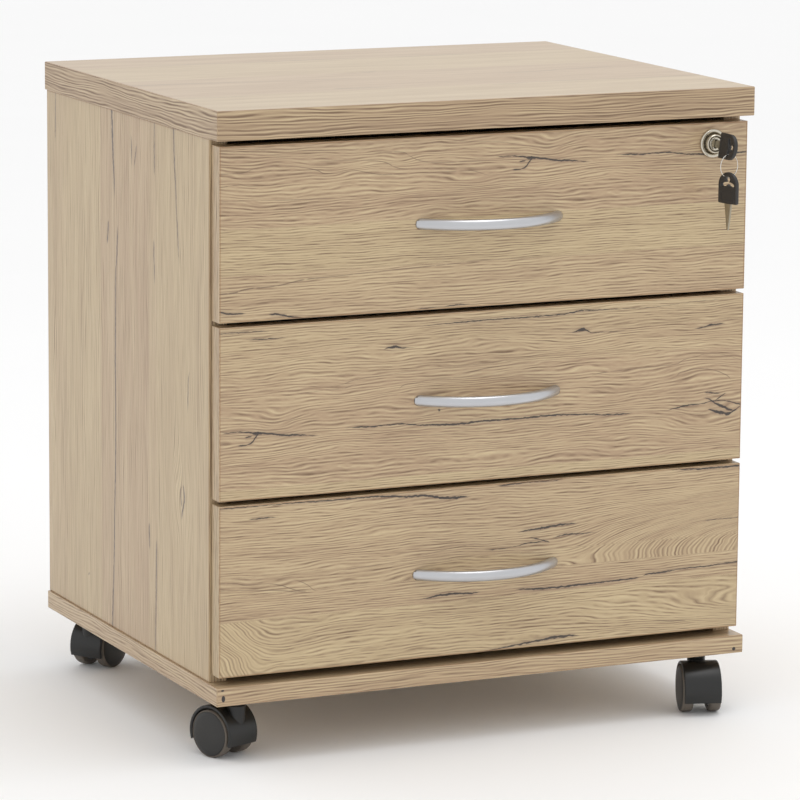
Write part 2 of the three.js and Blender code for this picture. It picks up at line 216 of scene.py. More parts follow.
UPPER_CRACKS = [
    [(250, 19.5, 0), (258, 19.8, 0.7), (275, 20.5, 0.9), (282, 22, 1.8), (287, 22.4, 1.6), (296, 23.3, 1.2),
     (304, 25, 1.5), (314, 25.8, 1.5), (322, 26.2, 1.0), (334, 27.6, 0.6), (346, 28.8, 0), (360, 24, 0),
     (372, 23.4, 0.7), (384, 24.1, 1.1), (398, 23.7, 0.9), (414, 23.6, 1.0), (426, 25.2, 0.9),
     (446, 26.8, 1.2), (470, 27.6, 1.4), (492, 26.8, 1.3), (520, 27, 1.1), (548, 26.6, 1.3), (572, 27, 1.2),
     (596, 28.4, 0.9), (612, 30, 1.0), (628, 30, 0.8), (640, 29.4, 0), (664, 30.6, 0), (676, 29, 0.8),
     (690, 27, 1.2), (702, 26.8, 0.7), (716, 25, 0.8), (742, 30, 0.9)],
    [(264, 32, 0), (270, 31.6, 0.9), (276, 30.9, 0.9), (280, 28.8, 1.3), (282, 26, 1.5), (285, 23, 1.4),
     (288, 22, 0)],
    [(272, 25, 0), (275, 24.8, 0.9), (278, 24.4, 0.9), (280, 24, 0)],
    [(0, 136.6, 1.1), (8, 138.2, 1.3), (18, 138.8, 1.0), (27, 138.6, 0), (42, 141, 0), (49, 141, 1.4),
     (58, 142.8, 1.3), (68, 144.8, 1.1), (78, 146, 0.8), (174, 145, 0), (186, 144.6, 0.8),
     (204, 144.4, 0.5), (214, 143.6, 0.9), (236, 143.9, 0)],
    [(420, -58, 0), (450, -59, 0.6), (490, -59.8, 0.9), (556, -60, 0.9), (570, -60.6, 1.0),
     (586, -62.4, 1.1), (606, -61.8, 0.7), (650, -61, 0.4), (690, -63.4, 0.4), (742, -64, 0)],
    [(250, -63.6, 0.7), (290, -63.4, 0.6), (296, -62, 0)],
    [(268, -57.4, 0), (284, -56.8, 0.8), (300, -56.6, 0.7), (316, -58, 0)],
    [(398, -41, 0), (405, -42.2, 1.5), (410, -42.6, 2.1), (413.5, -41.4, 1.3), (420, -40.8, 0.6),
     (434, -41.2, 0)],
    [(566, -43, 0), (579, -44.6, 0.9), (585, -46, 2.2), (590, -44.6, 1.3), (595, -42.4, 0.6),
     (622, -42.4, 0.4), (634, -43, 0)],
    [(690, -39.2, 0), (701, -40.4, 0.9), (712, -42, 1.3), (719, -42.4, 0.9), (726, -43, 0)],
    [(449, 14.4, 0), (450.6, 14.4, 1.3), (452.4, 14.4, 0)],
    [(703, 21.6, 0), (708, 22.6, 0.9), (716, 27, 1.5), (724, 31, 1.9), (731, 34, 1.9), (734, 34.6, 0)],
    [(708, 32, 0), (714, 33.6, 1.6), (722, 36, 2.4), (729, 37.4, 2.2), (733, 36, 1.3), (742, 30.6, 0.6)],
    [(712, 26, 0), (717, 24, 0.7), (723, 20.6, 0.8), (728, 18.4, 0)],
    [(704, 16.8, 0), (709, 17.4, 1.0), (718, 18.4, 0.8), (724, 18.6, 0)],
]
UPPER_LINES = [
    [(0, 121.6, 1.3), (14, 121, 1.6), (22, 119, 1.4), (50, 117.6, 1.1), (78, 113.6, 1.3), (100, 112.8, 1.0),
     (150, 110.4, 0.8), (205, 108.6, 0.9), (250, 107, 0.6), (330, 107.6, 0.3), (380, 109, 0)],
    [(0, 22.4, 0.8), (18, 22.4, 0.8), (34, 18.6, 0.5), (56, 18.2, 0.6), (76, 20.6, 0.7), (88, 23.6, 1.0),
     (94, 26.4, 1.0), (104, 26.6, 0.6), (120, 25, 0.6), (130, 26.8, 0.9), (146, 29.6, 0.9), (190, 30, 0.6),
     (228, 30.4, 0.8), (244, 35, 0.4)],
    [(136, 10.8, 0), (148, 11, 0.8), (166, 12, 0.8), (172, 15.6, 0.8), (180, 19.4, 0.8), (194, 22, 0.8),
     (232, 22.6, 0.7), (250, 23, 0)],
    [(84, 15.4, 0), (96, 16, 0.6), (136, 17.4, 0.7), (150, 20, 0.9), (158, 24, 0.9), (170, 26.2, 0.5),
     (214, 26.8, 0.4), (240, 28, 0)],
    [(0, 33.4, 0.9), (16, 32, 0.8), (28, 33.6, 0.6), (60, 34, 0)],
    [(0, 5.4, 0.6), (30, 4.4, 0.4), (60, 4.8, 0.5), (90, 7, 0.7), (140, 7.4, 0.4), (170, 5, 0.3),
     (250, 7, 0.5), (300, 13.6, 0.7), (312, 13, 0.6), (330, 9, 0.3), (400, 6, 0)],
    [(0, 45, 0.6), (40, 46, 0.4), (60, 46.6, 0.8), (95, 47.2, 0.7), (120, 48, 0)],
    [(353, -12.4, 0), (362, -14, 0.8), (372, -16.6, 0.8), (400, -19, 0.6), (430, -20.6, 0.5),
     (500, -23, 0.6), (540, -25, 0.4), (640, -25, 0.3), (742, -27, 0)],
    [(412, -5, 0), (417, -9, 0.9), (430, -10.6, 0.7), (450, -12.4, 0.6), (492, -12, 0.4), (560, -14, 0)],
    [(470, -15.8, 0), (480, -16.6, 0.9), (496, -18.6, 0.9), (520, -20, 0.5), (570, -20.4, 0)],
    [(318, -9.6, 0), (324, -9, 0.7), (345, -10, 0.5), (362, -10.2, 0.8), (372, -12.6, 0.6), (376, -13, 0)],
    [(594, -5.4, 0), (602, -6.8, 0.9), (628, -8, 0.8), (660, -9.2, 0.7), (678, -10, 0.9), (684, -13, 0.8),
     (696, -15, 0.5), (706, -17, 0.6), (720, -15.8, 0.5), (734, -11.6, 0.5), (742, -9, 0.4)],
    [(677, 2, 0), (679, -1, 0.9), (686, -3, 0.8), (700, -4.4, 0.8), (712, -2.6, 0.7), (722, 1, 1.0),
     (729, 5, 1.0), (732, 9, 0)],
]
LOWER_CRACKS = [
    [(0, 1.6, 0.9), (40, 1.6, 0.7), (100, 2, 1.0), (140, 2.2, 1.1), (160, 3.5, 1.3), (176, 4.8, 1.3),
     (184, 4.4, 1.7), (192, 5.8, 1.4), (202, 7.6, 1.8), (214, 9, 1.8), (224, 9, 1.2), (234, 9.2, 0),
     (252, 2.4, 0), (264, 1.8, 1.2), (290, 0.8, 1.3), (312, 1, 1.0), (334, 0.4, 0), (412, 0.6, 0),
     (436, 1.4, 1.1), (460, 2.4, 1.3), (492, 2.2, 1.2)],
    [(274, 44, 0), (283, 43.5, 0.9), (296, 42.3, 1.4), (304, 42, 1.6), (316, 40.8, 1.4), (326, 40.8, 1.1),
     (336, 40.4, 0)],
    [(308, 52, 0), (318, 50.4, 0.9), (324, 49.8, 1.0), (336, 50.2, 0.8), (346, 50, 0.6), (354, 50, 0)],
    [(286, 49.6, 0), (293, 50.6, 1.0), (299, 52.6, 0.7), (302, 53.4, 1.0), (305, 54.6, 0.8), (308, 56, 0)],
    [(244, 57.2, 0), (254, 57, 0.7), (272, 56.4, 0.5), (286, 54.4, 0.8), (296, 54, 0.9), (302, 53.4, 0)],
    [(178, 94.8, 0), (189, 94.2, 0.7), (198, 93, 1.4), (212, 92.4, 1.5), (224, 92.8, 1.3), (234, 93.6, 1.1),
     (244, 93.2, 0), (272, 93.8, 0), (282, 94.2, 1.0), (298, 95.5, 1.4), (320, 95.5, 1.4), (346, 95, 1.2),
     (370, 94.6, 1.1), (389, 94.2, 1.1), (397, 93.4, 0.3), (403, 91.4, 1.1), (416, 91.2, 1.3),
     (432, 90, 0.8), (450, 89.5, 0.9), (462, 89.7, 0.9), (476, 88.5, 0.9), (492, 88.2, 1.1)],
    [(238, 146, 0.6), (256, 145, 1.0), (278, 142.7, 1.2), (300, 140.8, 1.4), (312, 139.5, 1.9),
     (326, 139.4, 1.6), (338, 140, 0)],
    [(454, 48.8, 0), (464, 48.6, 0.6), (492, 48.4, 0.6)],
    [(24, 13, 0), (34, 12.2, 0.9), (46, 12.2, 0.7), (56, 12.6, 0)],
]
LOWER_LINES = [
    [(0, 65, 0.7), (16, 66, 0.7), (22, 68, 0.8), (44, 68.6, 0.6), (56, 71, 1.0), (66, 75, 1.0),
     (78, 78, 0.6), (80, 78, 0)],
    [(0, 71, 0.7), (30, 73, 0.7), (60, 76, 0.9), (72, 78, 0.7), (74, 78, 0)],
    [(66, 67, 0), (72, 68.6, 0.7), (80, 72.6, 0.9), (88, 78, 0.6), (90, 78, 0)],
    [(110, 64, 0), (126, 62, 0.8), (140, 61.6, 0.8), (160, 60, 0.4), (230, 51, 0.7), (244, 50.6, 0)],
    [(405, 133, 0), (414, 134, 0.8), (426, 135.6, 1.2), (436, 136, 1.0), (446, 137, 0)],
]
SIDE_CRACKS = [
    [(0, 77.4, 1.4), (26, 76, 1.5), (48, 73, 1.2), (70, 71, 0.9), (84, 69, 1.2), (104, 67, 0.7),
     (122, 66, 0)],
    [(0, 120.6, 0.9), (36, 120.6, 1.2), (50, 121, 0), (96, 122, 0), (108, 122, 1.3), (130, 121, 1.2),
     (146, 121, 0), (352, 116.6, 0), (372, 117.2, 1.4), (410, 118, 1.3), (440, 119.4, 1.0),
     (458, 119.6, 0.9)],
    [(0, 219, 2.3), (20, 217.6, 2.4), (40, 216, 2.2), (58, 214, 1.8), (80, 213, 0)],
    [(98, 206, 0), (110, 206.6, 1.4), (126, 208, 1.6), (144, 210.6, 1.3), (170, 211.6, 1.5),
     (220, 212.4, 1.7), (270, 212, 1.4), (320, 213, 1.6), (352, 215, 1.3), (384, 216, 1.5),
     (410, 217.6, 1.4), (434, 219.6, 1.7), (458, 221, 1.4)],
    [(0, 356, 0.8), (30, 356.6, 1.1), (48, 357.4, 0)],
    [(96, 228, 0), (104, 228.2, 1.6), (112, 229.6, 1.6), (120, 230.6, 0)],
    [(14, 174.6, 0), (26, 173, 1.1), (50, 172.6, 0)],
    [(22, 161, 0), (30, 162.6, 1.2), (40, 165.6, 0.8), (46, 166, 0)],
    [(346, 133.4, 0), (352, 133.8, 1.3), (366, 133, 1.0), (372, 133, 0)],
    [(298, 57.6, 0), (304, 55.4, 1.4), (311, 54, 1.5), (318, 56, 1.6), (326, 59.6, 1.2), (332, 60, 0)],
    [(300, 59, 0), (306, 62, 1.1), (314, 61, 1.1), (322, 59, 0)],
    [(420, 276, 0), (422, 278, 1.2), (424, 280, 0)],
    [(198, 41, 0), (206, 44.6, 0.8), (224, 46, 0.9), (240, 47, 0)],
]
RIGHT_SIDE_CRACKS = [
    [(30, 96, 0), (60, 98, 1.1), (120, 102, 1.4), (180, 101, 1.0), (220, 103, 0), (300, 96, 0),
     (340, 95, 1.2), (400, 97, 1.3), (458, 96, 0.9)],
    [(0, 262, 1.5), (50, 260, 1.4), (90, 256, 0), (190, 255, 0), (240, 258, 1.0), (300, 258, 1.3),
     (350, 261, 0)],
    [(150, 318, 0), (158, 317, 1.6), (168, 319, 0)],
]
TOP_CRACKS = [
    [(0, 92, 1.0), (50, 90, 1.4), (80, 91, 0), (150, 113, 0), (160, 112, 2.0), (200, 111, 1.2),
     (215, 111, 0), (285, 96, 0), (310, 94, 1.6), (330, 99, 0.9), (360, 99, 1.6), (400, 99, 1.0),
     (440, 95, 1.5), (500, 97, 1.0)],
    [(0, 194, 1.8), (50, 193, 1.5), (90, 188, 1.3), (140, 185, 0.8), (190, 181, 1.4), (215, 182, 0),
     (325, 172, 0), (350, 171, 1.2), (390, 175, 1.5), (405, 181, 0.8), (430, 182, 1.7), (470, 186, 0)],
    [(60, 333, 0), (120, 332, 1.4), (160, 327, 0.8), (200, 328, 1.5), (300, 325, 0.6), (340, 323, 1.7),
     (410, 324, 0)],
    [(226, 223, 0), (234, 220, 2.2), (240, 222, 2.0), (246, 226, 0)],
    [(385, 9, 0), (388, 14, 0.8), (390, 17, 0)],
]
EDGE_V = 620.0  # where the narrow edges' strips start on the sheet


class Decor:
    """Where a board's face lies on the decor sheet, and what is special about the grain there.

    planks: (v where the plank ends, pinkness, grain spacing, how wavy) down the board, the last to its end
    hills: (u, v, half length, half width, shift) places where the lines bulge towards +v by shift
    arches: (start u, side it opens to, slope, width of its tip, v of its axis, roundness, v where it starts,
        v where it is whole, v where it ends) nested arches of grain lines
    spots: (u, v, half length, half width) round dark knots on the long edges
    contrast, length: how strong the grain is and how long its streaks are
    ink, edge: how dark its cracks are, and how much darker its edges are
    """

    def __init__(self, planks, cracks=(), lines=(), hills=(), arches=(), shift=(0, 0), seed=0.0,
                 spots=(), contrast=1.0, length=1.0, ink=0.92, edge=0.12):
        self.planks = planks
        self.cracks = cracks
        self.lines = lines
        self.hills = hills
        self.arches = arches
        self.shift = shift
        self.seed = seed
        self.spots = spots
        self.contrast = contrast
        self.length = length
        self.ink = ink
        self.edge = edge


UPPER_PLANKS = [
    (-46, 0.35, 2.6, 0.5), (-22, 0.6, 3.4, 1), (69, 0.85, 3.6, 1), (107, 0.08, 2.3, 0.25),
    (400, 0.62, 3.2, 0.5),
]
UPPER_HILLS = [
    (302, 13, 20, 12, 6), (288, 38, 22, 10, 4), (98, 27, 16, 8, 4), (166, 18, 16, 8, 3), (230, 38, 26, 8, 3),
    (408, -36, 30, 9, 3), (585, -38, 28, 9, 3), (708, -12, 40, 16, -9), (716, 44, 44, 14, 9),
    (430, -4, 60, 12, -4),
]
DECORS = {
    "drawer_1_front": Decor(UPPER_PLANKS, UPPER_CRACKS, UPPER_LINES, UPPER_HILLS),
    "drawer_2_front": Decor(UPPER_PLANKS, UPPER_CRACKS, UPPER_LINES, UPPER_HILLS, shift=(250, -68)),
    "drawer_3_front": Decor(
        [(62, 0.6, 3.0, 0.7), (77.6, 0.5, 3.6, 0.8), (99, 0.62, 2.4, 0.3), (400, 0.12, 3.6, 0.8)],
        LOWER_CRACKS, LOWER_LINES,
        hills=[(60, 112, 40, 12, 4), (210, 66, 40, 12, -4), (110, 56, 30, 8, -3), (545, 126, 120, 15, 24)],
        arches=[(316, 1, 0.6, 40, 74, 14, 16, 66, 77.6), (56, -1, 0.75, 30, 150, 34, 98.6, 99.4, 200)],
        seed=11.0),
    "side_panel_left": Decor(
        [(114, 0.12, 3.2, 0.6), (134, 0.4, 3.0, 0.6), (246, 0.8, 3.4, 0.6), (330, 0.1, 3.4, 0.5),
         (500, 0.3, 3.2, 0.5)],
        SIDE_CRACKS,
        hills=[(312, 42, 30, 14, -7), (312, 76, 30, 18, 9), (220, 366, 60, 10, 8), (230, 296, 90, 16, 5)],
        seed=23.0, contrast=0.75, length=2.6, ink=0.8),
    "side_panel_right": Decor(
        [(90, 0.3, 3.2, 0.5), (190, 0.75, 3.2, 0.6), (300, 0.15, 3.0, 0.5), (500, 0.55, 3.4, 0.6)],
        RIGHT_SIDE_CRACKS, hills=[(160, 250, 60, 14, 7), (158, 330, 40, 14, 6)],
        seed=37.0, contrast=0.75, length=2.6, ink=0.8),
    "top_panel": Decor(
        [(98, 0.2, 3.2, 0.5), (222, 0.75, 3.4, 0.6), (326, 0.18, 3.2, 0.5), (500, 0.7, 3.4, 0.6)],
        TOP_CRACKS, hills=[(236, 236, 30, 16, 7), (410, 140, 50, 16, 6)],
        seed=53.0, contrast=0.4, length=2.6, ink=0.3, edge=0.26),
    "bottom_panel": Decor(
        [(120, 0.6, 3.2, 0.5), (240, 0.2, 3.2, 0.5), (500, 0.7, 3.4, 0.6)],
        seed=71.0, contrast=0.6, length=2.0, edge=0.05,
        spots=[(5.9, EDGE_V + 9.3, 1.7, 2.9), (5.2, EDGE_V + 2.2, 1.5, 0.8), (491, EDGE_V + 12, 1.7, 1.7)]),
    "back_panel": Decor(
        [(110, 0.3, 3.2, 0.5), (230, 0.7, 3.2, 0.6), (340, 0.2, 3.0, 0.5), (500, 0.6, 3.4, 0.6)],
        RIGHT_SIDE_CRACKS, hills=[(200, 120, 60, 14, 6), (340, 300, 50, 18, -7)],
        seed=89.0, contrast=0.75, length=2.6, ink=0.8),
}


def board_place(g, box, grain, normal):
    """Any face of a board in millimetres: u along the grain, v across it, distance to the nearest side.

    Two more say 1 on any narrow edge, and 1 on the long ones alone. These edges have their own part of
    the sheet. box is two corners; grain and normal are the axes along the grain and through the board.
    v runs towards -Z or +Y.
    """
    across = 3 - grain - normal
    coordinates = g.node("TexCoord")
    place = g.node("SeparateXYZ", {0: coordinates.outputs["Object"]})
    facing = g.node("SeparateXYZ", {0: coordinates.outputs["Normal"]})
    low, high = box

    def along(axis):
        value = Value(g, place.outputs[axis])
        if axis == 2:
            return (high[axis] - value) / MM
        return (value - low[axis]) / MM

    on_long_edge = g.rise(abs(Value(g, facing.outputs[across])), 0.6, 0.8)
    on_end = g.rise(abs(Value(g, facing.outputs[grain])), 0.6, 0.8)
    on_edge = g.high(on_long_edge, on_end)
    u_face, v_face, depth = along(grain), along(across), along(normal)
    u = g.blend(on_end, u_face, v_face)
    v = g.blend(on_edge, v_face, depth + EDGE_V)
    size = (high - low) / MM
    to_end = g.low(u_face, size[grain] - u_face)
    to_side = g.low(v_face, size[across] - v_face)
    inside = g.low(to_end, to_side)
    return u, v, inside, on_edge, on_long_edge


def trace(g, u, v, points, raggedness):
    """How deep inside a crack or dark line, 0 to 1, and how near it, for its (u, v, half width) points."""
    middle = g.curve(u, [(p[0], p[1]) for p in points])
    half = g.curve(u, [(p[0], p[2]) for p in points])
    off = abs(v - middle)
    core = g.limit((half * raggedness - off) / 0.55 + 0.25) * g.rise(half, 0.02, 0.3)
    near = g.limit((half + 2.6 - off) / 3.2) * g.rise(half, 0.3, 1.0)
    return core, near


def darkest(g, depths):
    total = depths[0]
    for depth in depths[1:]:
        total = g.high(total, depth)
    return total


def fold(g, distance, roundness):
    """The distance from a line without its sign, rounded off where it would have a sharp valley."""
    away = abs(distance)
    near = g.low(away / roundness, 1.0)
    return near * away - near * near * (roundness / 2)


def grain_flow(g, u, v, decor):
    """How the grain runs: v along the bent lines, and the plank's pinkness, grain spacing and number."""
    seed = decor.seed
    wave = g.noise(u / 150 + seed, v / 34, 1.0) - 0.5
    ripple = g.noise(u / 38 + seed, v / 8, 1.0) - 0.5
    plank = len(decor.planks) - 1.0
    pink, spacing, wavy = decor.planks[-1][1:]
    ragged = v + g.noise(u / 60 + seed, 3.3, 1.0) * 1.5 - 0.75
    for index in reversed(range(len(decor.planks) - 1)):
        end, plank_pink, plank_spacing, plank_wavy = decor.planks[index]
        before = g.rise(ragged, end + 0.5, end - 0.5)
        pink = g.blend(before, pink, plank_pink)
        spacing = g.blend(before, spacing, plank_spacing)
        wavy = g.blend(before, wavy, plank_wavy)
        plank = g.blend(before, plank, float(index))
    flow = v + (wave * 14 + ripple * 3.4) * wavy
    for place in decor.hills:
        flow = flow - g.hill(u, v, place) * place[4]
    for start, side, slope, width, axis, roundness, lowest, full, highest in decor.arches:
        along = (u - start) * side
        mirrored = axis - roundness / 2 - fold(g, v - axis, roundness)  # runs back up beyond the axis
        opening = fold(g, g.high(along, 0.0), width) * slope
        below = g.rise(v, axis - roundness, axis - roundness + 1) * g.rise(along, 0, width) * (mirrored - v)
        flow = flow + (below + opening * g.rise(v, lowest, full)) * g.rise(v, highest + 0.4, highest - 0.4)
    return flow, pink, spacing, plank


def oak(name, box, grain_axis, normal, decor):
    """The oak decor on one board: planks, grain lines that flow round knots, pores, cracks and edge bands."""
    g = Graph(name)
    u, v, inside, on_edge, on_long_edge = board_place(g, box, grain_axis, normal)
    u = u + decor.shift[0]
    v = v + decor.shift[1]
    flow, pink, spacing, plank = grain_flow(g, u, v, decor)
    shift = plank * 7.7 + decor.seed
    long = decor.length

    # Growth-ring lines: one dark edge in each spacing, uneven in strength and broken along its length.
    drift = g.noise(u / (90 * long) + shift, flow / 7, 1.0) * 5
    turns = (flow + drift) / (spacing * 1.35)
    whole = g.math("FLOOR", turns)
    part = turns - whole
    strength = g.rise(g.noise(u / (34 * long) + shift, whole * 3.71, 1.0), 0.36, 0.7)
    lines = g.rise(part, 0.5, 0.86) * g.rise(part, 1.0, 0.92) * strength
    # Fine dashes lying side by side, each with its own strengths along its length.
    fine_turns = (flow + g.noise(u / (40 * long) + shift, flow / 6, 1.0) * 3) / (spacing * 0.4 + 1.3)
    fine_whole = g.math("FLOOR", fine_turns)
    dash = g.rise(g.noise(u / (15 * long) + shift, fine_whole * 2.37, 1.5), 0.2, 0.75)
    dashes = (g.math("PINGPONG", fine_turns - fine_whole, 0.5) * 4 - 0.9) * dash
    # Short ripples, longer streaks and hair-fine fibres, dark and light.
    ripples = g.noise(u / (16 * long) + shift, flow, 1.0) - 0.5
    streaks = g.noise(u / (70 * long) + shift, flow / 2.6, 1.5) - 0.5
    fibres = g.noise(u / (5 * long) + shift, flow / 0.4, 1.0) - 0.5
    broad = g.noise(u / 170 + shift, flow / 15, 2.0) - 0.5
    contrast = on_edge * (1.1 - decor.contrast) + decor.contrast
    grain = dashes * 0.85 + ripples * 0.35 + streaks * 0.35 + fibres * 0.25 + lines * 0.5 - 0.1
    shade = grain * contrast
    shade = shade + broad * (0.5 * decor.contrast + 0.1) + on_edge * decor.edge

    colour = g.colour(g.limit(pink + broad * 0.5), YELLOW_OAK, PINK_OAK)
    colour = g.colour(g.limit(shade), colour, DARK_GRAIN)
    colour = g.colour(g.limit(shade * -1.0) * 1.1, colour, LIGHT_GRAIN)
    on_face = 1.0 - on_edge
    depth = 0.0
    if decor.lines:
        broken = g.rise(g.noise(u / 9 + shift, 5.1, 2.0), 0.2, 0.45)
        marks = [trace(g, u, v, points, 0.5)[0] for points in decor.lines]
        colour = g.colour(darkest(g, marks) * broken * on_face * 0.72, colour, BROWN_LINE)
    if decor.cracks:
        jagged = v + g.noise(u / 4.5 + shift, 1.7, 3.0) * 1.2 - 0.6
        raggedness = g.noise(u / 5 + shift, v / 2, 2.0) * 1.1 + 0.1
        marks = [trace(g, u, jagged, points, raggedness) for points in decor.cracks]
        depth = darkest(g, [core for core, near in marks]) * on_face
        stain = darkest(g, [near for core, near in marks]) * on_face
        colour = g.colour(stain * (0.4 * decor.ink), colour, STAIN)
        colour = g.colour(depth * decor.ink, colour, CRACK)
    for spot in decor.spots:
        colour = g.colour(g.rise(g.hill(u, v, spot), 0.3, 0.5) * on_long_edge, colour, CRACK)
    # A brown line just inside each face's rim: the edge band's glue joint, and partly painted shade along the
    # face's edges.
    glue_line_and_shade = g.rise(inside, 1.5, 0.8) * g.rise(inside, 0.1, 0.5) * on_face
    colour = g.colour(glue_line_and_shade * 0.55, colour, GLUE_LINE_AND_SHADE)

    gloss = g.limit(shade * 0.2 + 0.38)
    g.shine(Base_Color=colour, Roughness=gloss, IOR=1.5, Coat_Weight=0.2, Coat_Roughness=0.25)
    g.relief(0.5 - shade * 0.5 - depth, 0.00012, 0.5)
    return g.material


# ---------------------------------------------------------------- other materials
def chipboard_white(name):
    """Pale melamine on the drawer boxes: a faint orange-peel and a few grey specks."""
    g = Graph(name)
    speck = g.rise(g.speckle(900, 2.0), 0.62, 0.72)
    cloud = g.speckle(12)
    colour = g.colour(cloud, tone(222, 220, 214), tone(230, 228, 223))
    g.shine(Base_Color=g.colour(speck * 0.25, colour, tone(188, 184, 176)), Roughness=cloud * 0.1 + 0.45)
    g.relief(g.speckle(1400), 0.00004, 0.4)
    return g.material


def metal(name, colour, roughness, grain=(0, 0, 0), wear=0.06, metallic=1.0):
    """A metal with fine lines along `grain` (lines per metre on each axis) and slightly uneven polish."""
    g = Graph(name)
    cloud = g.speckle(35)
    if any(grain):
        place = g.node("TexCoord").outputs["Object"]
        scaled = g.node("VectorMath", {0: place, 1: grain}, operation="MULTIPLY")
        noise = g.node("TexNoise", {"Vector": scaled.outputs[0], "Scale": 1.0, "Detail": 2.0})
        lines = Value(g, noise.outputs[0])
    else:
        lines = g.speckle(2200)
    darker = tuple(level * 0.86 for level in colour[:3]) + (1.0,)
    g.shine(
        Base_Color=g.colour(g.limit(cloud * 0.8 + lines * 0.2), darker, colour), Metallic=metallic,
        Roughness=g.limit(lines * wear * 2 + cloud * wear + roughness - wear * 1.5))
    g.relief(lines, 0.00002, 0.25)
    return g.material


def plastic(name, colour, roughness, grain=2400, dust=0.12):
    """Moulded plastic: a fine grain, a little dust in the colour and uneven gloss."""
    g = Graph(name)
    fine = g.speckle(grain, 3.0)
    cloud = g.speckle(55, 3.0)
    pale = tuple(min(1.0, level * 1.7 + 0.012) for level in colour[:3]) + (1.0,)
    g.shine(
        Base_Color=g.colour(g.limit(cloud * dust * 2 + fine * dust), colour, pale),
        Roughness=g.limit(cloud * 0.16 + fine * 0.08 + roughness - 0.12))
    g.relief(fine, 0.00005, 0.35)
    return g.material


MATERIALS = {
    "board": chipboard_white("white_board"),
    "drawer_steel": metal("drawer_steel", tone(205, 207, 208), 0.42, wear=0.08, metallic=0.35),
    "zinc": metal("zinc_plate", tone(192, 196, 198), 0.3, grain=(900, 60, 900)),
    "satin_metal": metal("satin_chrome", tone(200, 201, 204), 0.29, (20, 220, 220), 0.01, 0.95),
    "nickel": metal("polished_nickel", tone(206, 199, 184), 0.16),
    "ring_steel": metal("ring_steel", tone(236, 235, 230), 0.22),
    "key_nickel": metal("key_nickel", tone(170, 162, 144), 0.36),
    # Dark nickel for the rings in the lock's grooves: painted shade in the recesses.
    "nickel_groove_shade": metal("nickel_groove_shade", tone(92, 84, 70), 0.3),
    "castor_plastic": plastic("castor_plastic", tone(22, 22, 21), 0.36, dust=0.05),
    "castor_disc": plastic("castor_disc", tone(35, 34, 32), 0.46, dust=0.06),
    "tread": plastic("tread", tone(90, 82, 73), 0.6, dust=0.14),
    "key_plastic": plastic("key_plastic", tone(38, 36, 34), 0.45),
    "roller": plastic("roller_nylon", tone(226, 224, 216), 0.4, dust=0.05),
}


# ---------------------------------------------------------------- mesh helpers
def make_piece(name, mesh, material, body, stands_for=()):
    """Puts a finished mesh in the scene, on a CAD body."""
    piece = bpy.data.objects.new(name, mesh)
    bpy.context.scene.collection.objects.link(piece)
    mesh.materials.append(MATERIALS[material])
    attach(piece, body)
    if stands_for:
        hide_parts(*stands_for)
    return piece


def cleaned(mesh, distance):
    """Merges corners that coincide and turns every face outwards."""
    shape = bmesh.new()
    shape.from_mesh(mesh)
    bmesh.ops.remove_doubles(shape, verts=shape.verts, dist=distance)
    bmesh.ops.recalc_face_normals(shape, faces=shape.faces)
    shape.to_mesh(mesh)
    shape.free()
    return mesh


def smoothed(mesh):
    mesh.polygons.foreach_set("use_smooth", [True] * len(mesh.polygons))
    mesh.set_sharp_from_angle(angle=math.radians(38))
    return mesh


def mesh_from(name, vertices, faces):
    mesh = bpy.data.meshes.new(name)
    mesh.from_pydata([tuple(v) for v in vertices], [], faces)
    return cleaned(mesh, 1e-7)


def loft(name, rings, closed=False):
    """A skin over rings of points; its two ends are capped unless it closes on itself."""
    count = len(rings[0])
    vertices = [point for ring in rings for point in ring]
    faces = []
    steps = len(rings) if closed else len(rings) - 1
    for i in range(steps):
        here, there = i * count, ((i + 1) % len(rings)) * count
        for j in range(count):
            k = (j + 1) % count
            faces.append((here + j, here + k, there + k, there + j))
    if not closed:
        faces.append(tuple(range(count)))
        faces.append(tuple(len(vertices) - 1 - i for i in range(count)))
    return smoothed(mesh_from(name, vertices, faces))


def turned(name, profile, place, segments=72):
    """A turned piece from (radius, height) points in millimetres; place puts its z axis in the scene."""
    rings = []
    for i in range(segments):
        angle = 2 * math.pi * i / segments
        rings.append([place @ (Vector((r * math.cos(angle), r * math.sin(angle), h)) * MM) for r, h in profile])
    return loft(name, rings, closed=True)


def rounded(points, radius, steps=4):
    """A closed outline with each corner cut round by up to that radius."""
    result = []
    for i, point in enumerate(points):
        before, here, after = Vector(points[i - 1]), Vector(point), Vector(points[(i + 1) % len(points)])
        into, out = (before - here), (after - here)
        reach = min(radius, into.length * 0.45, out.length * 0.45)
        start, end = here + into.normalized() * reach, here + out.normalized() * reach
        for step in range(steps + 1):
            t = step / steps
            result.append(start * (1 - t) ** 2 + here * 2 * t * (1 - t) + end * t ** 2)
    return [tuple(p) for p in result]


def plate(name, outlines, thick, edge, place):
    """A flat plate with rounded rims: closed outlines (the first outside, then holes) in millimetres."""
    curve = bpy.data.curves.new(name, "CURVE")
    curve.dimensions = "2D"
    curve.fill_mode = "BOTH"
    curve.extrude = (thick / 2 - edge) * MM
    curve.bevel_depth = edge * MM
    curve.bevel_resolution = 3
    curve.offset = -edge * MM
    for outline in outlines:
        spline = curve.splines.new("POLY")
        spline.points.add(len(outline) - 1)
        for point, (x, y) in zip(spline.points, outline):
            point.co = (x * MM, y * MM, 0, 1)
        spline.use_cyclic_u = True
    holder = bpy.data.objects.new(name, curve)
    bpy.context.scene.collection.objects.link(holder)
    bpy.context.view_layer.update()
    shape = holder.evaluated_get(bpy.context.evaluated_depsgraph_get())
    mesh = bpy.data.meshes.new_from_object(shape)
    bpy.data.objects.remove(holder)
    mesh.name = name
    mesh.transform(place)
    return smoothed(cleaned(mesh, 1e-6))


